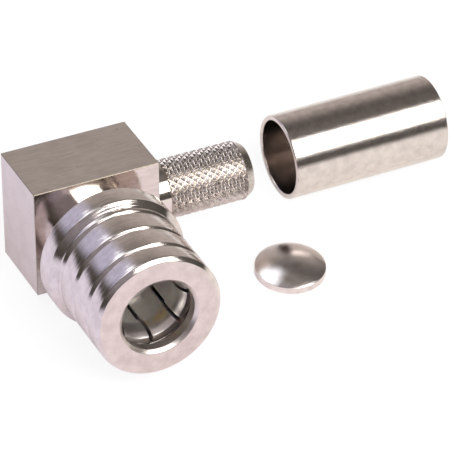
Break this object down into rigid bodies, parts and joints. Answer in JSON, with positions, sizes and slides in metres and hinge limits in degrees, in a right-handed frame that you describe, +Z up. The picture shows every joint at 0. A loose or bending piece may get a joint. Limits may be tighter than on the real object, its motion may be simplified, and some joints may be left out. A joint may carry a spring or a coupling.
{
  "type": "right-angle crimp coaxial plug",
  "caption": "Right-angle quick-lock crimp coaxial plug with a sliding grip sleeve, knurled crimp stem, loose crimp ferrule and loose access cap.",
  "frame": {"origin": "centre of the round guide wall inside the sleeve's mouth, on the mating axis", "axes": "+X along the crimp stem, the way the cable leaves; +Y from the mouth towards the block, level; +Z up from the table. The mating axis rises 5.88 degrees towards the mouth, as the connector rests."},
  "size_m": [0.0347, 0.0198, 0.0108],
  "materials": {
    "nickel_body": "fine milled, nickel plated",
    "nickel_stem": "knurled, nickel plated",
    "nickel_sleeve": "turned, nickel plated",
    "spring_nickel": "turned spring alloy, nickel plated",
    "ptfe": "waxy white",
    "gold_plate": "gold plated",
    "nickel_ferrule": "bright drawn tube, nickel plated",
    "nickel_cap": "pressed, nickel plated"
  },
  "bodies": {
    "connector": {"body_block": "nickel_body", "crimp_stem": "nickel_stem", "locking_collet": "spring_nickel", "outer_contact": "spring_nickel", "front_insulator": "ptfe", "centre_contact": "gold_plate", "crimp_ferrule": "nickel_ferrule", "access_cap": "nickel_cap"},
    "carrier": {"retaining_ring": "spring_nickel"},
    "sleeve": {"coupling_sleeve": "nickel_sleeve"}
  },
  "joints": [
    {"name": "sleeve_pull", "type": "slide", "parent": "connector", "child": "carrier", "axis": [0, 0.9947, -0.1025], "range_m": [0, 0.00085]},
    {"name": "sleeve_turn", "type": "hinge", "parent": "carrier", "child": "sleeve", "pos_m": [0, 0, 0], "axis": [0, 0.9947, -0.1025], "continuous": true}
  ]
}
